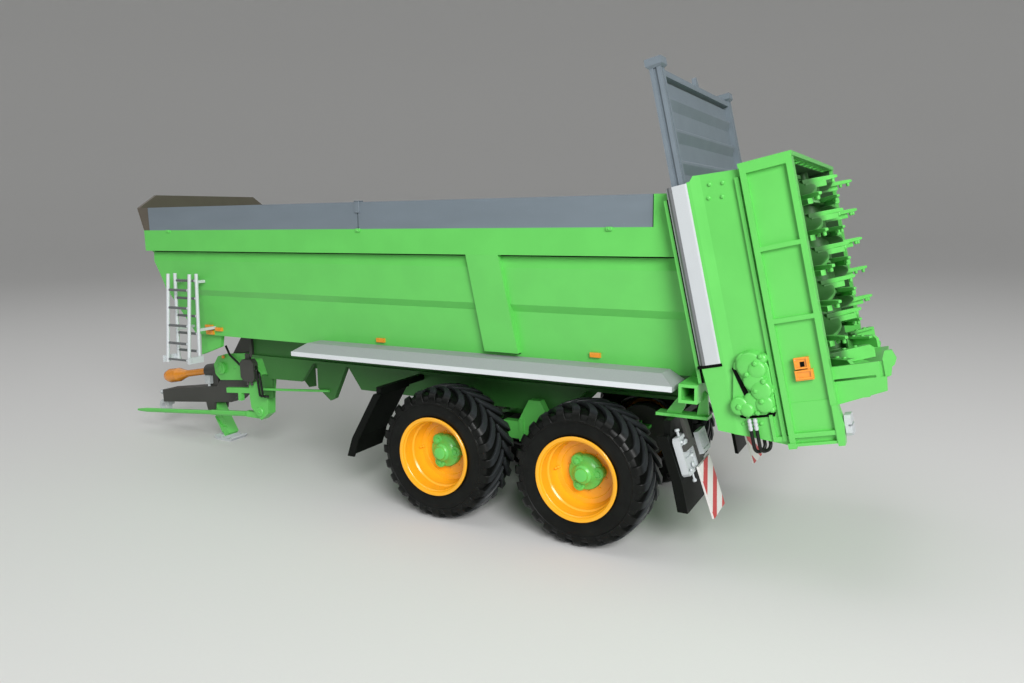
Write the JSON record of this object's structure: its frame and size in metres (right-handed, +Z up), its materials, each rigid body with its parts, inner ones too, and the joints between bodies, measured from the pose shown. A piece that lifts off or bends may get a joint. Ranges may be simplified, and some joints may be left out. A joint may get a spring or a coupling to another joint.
{
  "type": "scale model manure spreader",
  "caption": "Scale model of a tandem-axle trailed manure spreader with a raised guillotine door, upright beaters, parking jack and folding ladder.",
  "frame": {"origin": "centre of the bounding box at ground level", "axes": "+X forwards along the drawbar, +Y to the left, +Z up"},
  "size_m": [0.311, 0.0828, 0.1332],
  "materials": {
    "black_plastic": "satin",
    "board_white": "satin",
    "bright_metal": "satin",
    "charcoal_grey": "matt",
    "green_paint": "satin",
    "orange_paint": "gloss",
    "orange_plastic": "gloss",
    "slate_grey": "matt",
    "tyre_rubber": "matt"
  },
  "bodies": {
    "spreader": {"axle_front": "charcoal_grey", "axle_rear": "charcoal_grey", "beater_housing": "green_paint", "body_shell": "green_paint", "bogie": "green_paint", "brake_rod": "green_paint", "chassis": "green_paint", "cross_tube": "green_paint", "door_guides": "bright_metal", "drawbar": "charcoal_grey", "drawbar_cheeks": "green_paint", "drive_housings": "green_paint", "floor_conveyor": "charcoal_grey", "front_board": "charcoal_grey", "hose_box": "charcoal_grey", "hose_fittings": "bright_metal", "hoses_front": "charcoal_grey", "hoses_rear": "charcoal_grey", "ladder_fixed": "bright_metal", "lamp_brackets": "charcoal_grey", "mudguards_front": "black_plastic", "mudguards_rear": "black_plastic", "pto_gearbox": "charcoal_grey", "pto_guard": "orange_plastic", "rear_deck": "green_paint", "rear_lamps": "bright_metal", "rear_side_plates": "green_paint", "side_boards": "slate_grey", "side_markers": "orange_plastic", "skirts": "bright_metal", "steering_bracket": "green_paint", "steering_rod": "green_paint", "tail_brackets": "green_paint", "tail_lamps": "bright_metal", "towing_eye": "bright_metal", "warning_boards": "board_white"},
    "wheel_front_left": {"hub_front_left": "green_paint", "rim_front_left": "orange_paint", "tyre_front_left": "tyre_rubber"},
    "wheel_front_right": {"hub_front_right": "green_paint", "rim_front_right": "orange_paint", "tyre_front_right": "tyre_rubber"},
    "wheel_rear_left": {"hub_rear_left": "green_paint", "rim_rear_left": "orange_paint", "tyre_rear_left": "tyre_rubber"},
    "wheel_rear_right": {"hub_rear_right": "green_paint", "rim_rear_right": "orange_paint", "tyre_rear_right": "tyre_rubber"},
    "left_beater": {"beater_left": "green_paint"},
    "right_beater": {"beater_right": "green_paint"},
    "door": {"door_frame": "slate_grey", "door_sheet": "slate_grey"},
    "parking_jack": {"jack": "green_paint", "jack_foot": "bright_metal"},
    "folding_ladder": {"ladder_fold": "bright_metal"}
  },
  "joints": [
    {"name": "wheel_front_left_spin", "type": "hinge", "parent": "spreader", "child": "wheel_front_left", "pos_m": [-0.02814, 0.0296, 0.02085], "axis": [0, 1, 0], "continuous": true},
    {"name": "wheel_front_right_spin", "type": "hinge", "parent": "spreader", "child": "wheel_front_right", "pos_m": [-0.02814, -0.0296, 0.02085], "axis": [0, 1, 0], "continuous": true},
    {"name": "wheel_rear_left_spin", "type": "hinge", "parent": "spreader", "child": "wheel_rear_left", "pos_m": [-0.07654, 0.0296, 0.02085], "axis": [0, 1, 0], "continuous": true},
    {"name": "wheel_rear_right_spin", "type": "hinge", "parent": "spreader", "child": "wheel_rear_right", "pos_m": [-0.07654, -0.0296, 0.02085], "axis": [0, 1, 0], "continuous": true},
    {"name": "beater_left_spin", "type": "hinge", "parent": "spreader", "child": "left_beater", "pos_m": [-0.13567, 0.0186, 0.05672], "axis": [0.213, 0, 0.977], "continuous": true},
    {"name": "beater_right_spin", "type": "hinge", "parent": "spreader", "child": "right_beater", "pos_m": [-0.13567, -0.0186, 0.05672], "axis": [0.213, 0, 0.977], "continuous": true},
    {"name": "door_slide", "type": "slide", "parent": "spreader", "child": "door", "axis": [0.213, 0, 0.977], "range_m": [-0.0292, 0]},
    {"name": "jack_swing", "type": "hinge", "parent": "spreader", "child": "parking_jack", "pos_m": [0.11246, 0, 0.014], "axis": [0, 1, 0], "range_deg": [0, 58]},
    {"name": "ladder_fold", "type": "hinge", "parent": "spreader", "child": "folding_ladder", "pos_m": [0.07927, 0.0396, 0.0432], "axis": [-1, 0, 0], "range_deg": [0, 170]}
  ]
}
